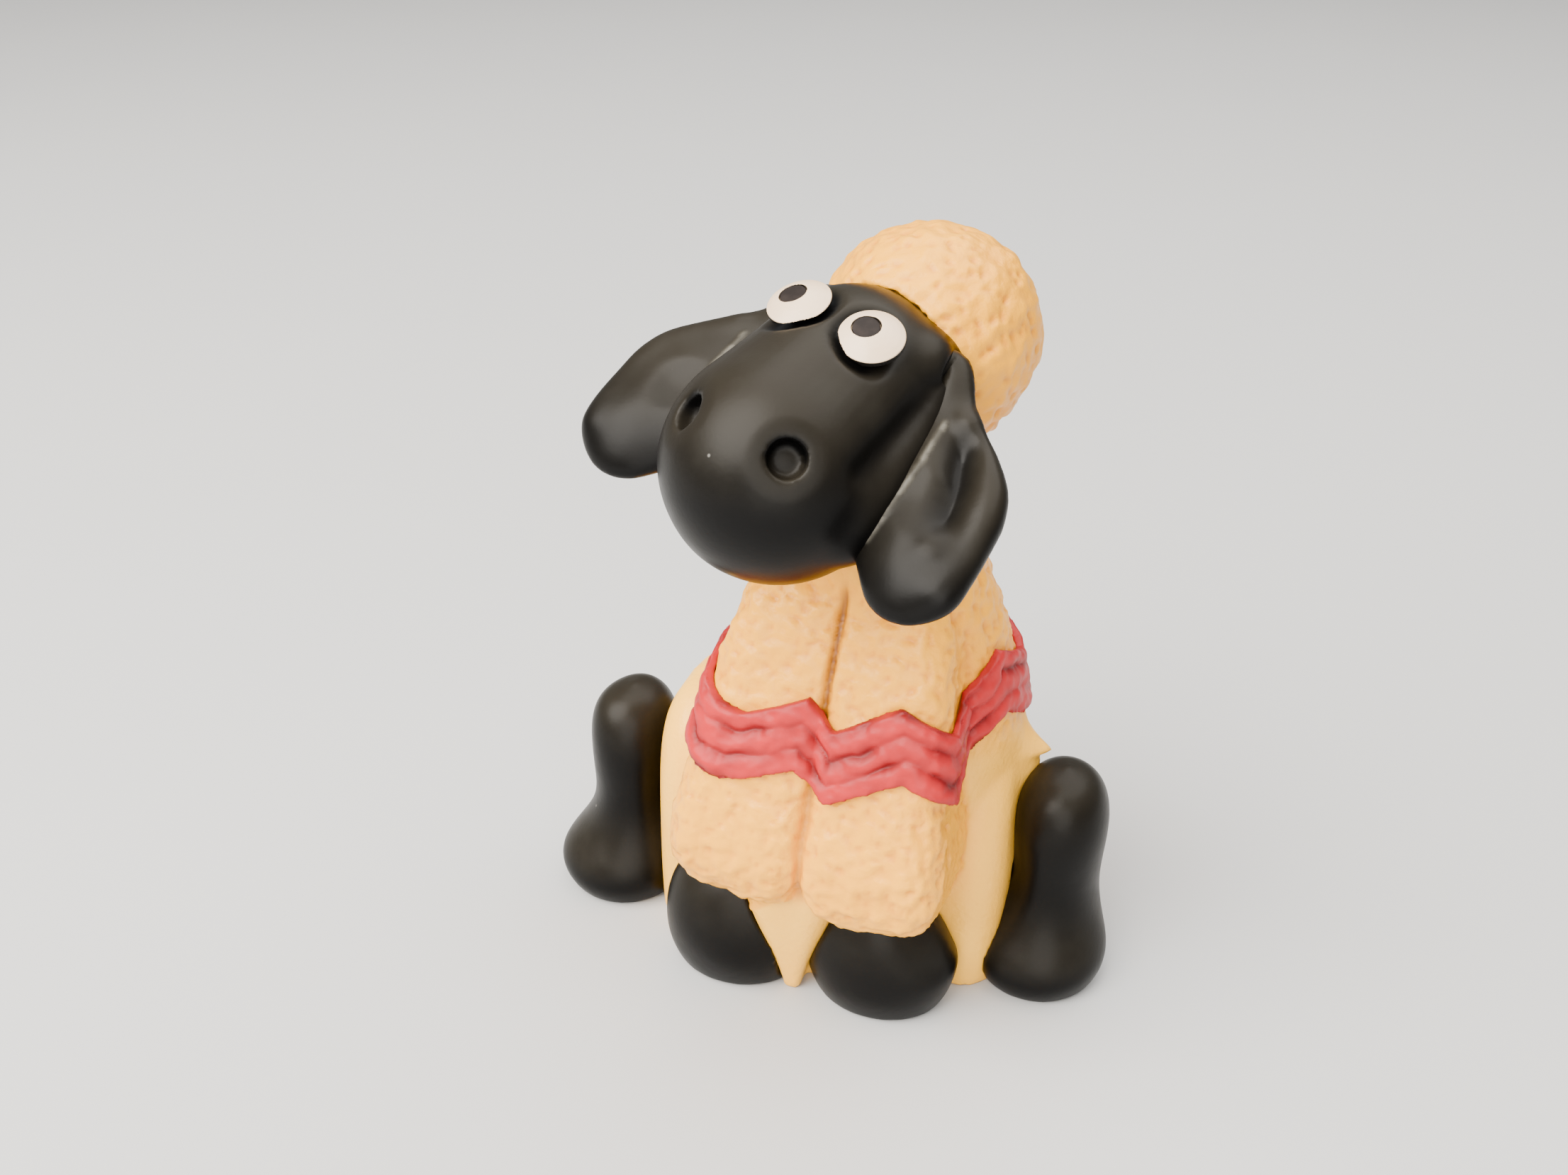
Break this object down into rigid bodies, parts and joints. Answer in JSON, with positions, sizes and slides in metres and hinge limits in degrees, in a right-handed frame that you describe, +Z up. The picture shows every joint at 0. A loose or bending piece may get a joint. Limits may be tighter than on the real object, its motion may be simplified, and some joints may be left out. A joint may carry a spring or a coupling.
{
  "type": "sheep figurine",
  "caption": "Seated black-faced sheep figurine with a cream wool body, a raised zigzag band, hanging ears and a head that turns on a neck peg.",
  "frame": {"origin": "on the ground under the middle of the torso's base", "axes": "+Z up, the sheep faces -Y, its left side is +X"},
  "size_m": [0.0355, 0.03, 0.0451],
  "materials": {
    "cream_wool": "painted vinyl with pitted wool relief, satin",
    "cap_wool": "painted vinyl with pitted wool relief, satin",
    "red_band": "satin paint over ridges",
    "black_vinyl": "smooth satin",
    "eye_white": "smooth, slightly glossy",
    "pupil_dark": "matte paint",
    "peg_plastic": "plain moulded"
  },
  "bodies": {
    "body": {"torso": "cream_wool", "zigzag_band": "red_band", "neck_peg": "peg_plastic", "front_hoof_left": "black_vinyl", "front_hoof_right": "black_vinyl", "hind_leg_left": "black_vinyl", "hind_leg_right": "black_vinyl"},
    "head": {"head": "black_vinyl", "wool_cap": "cap_wool", "ear_left": "black_vinyl", "ear_right": "black_vinyl", "eye_left": "eye_white", "eye_right": "eye_white", "pupil_left": "pupil_dark", "pupil_right": "pupil_dark"}
  },
  "joints": [
    {"name": "head_turn", "type": "hinge", "parent": "body", "child": "head", "pos_m": [0.00207, -0.0045, 0.03123], "axis": [0.0648, -0.2079, 0.976], "continuous": true}
  ]
}
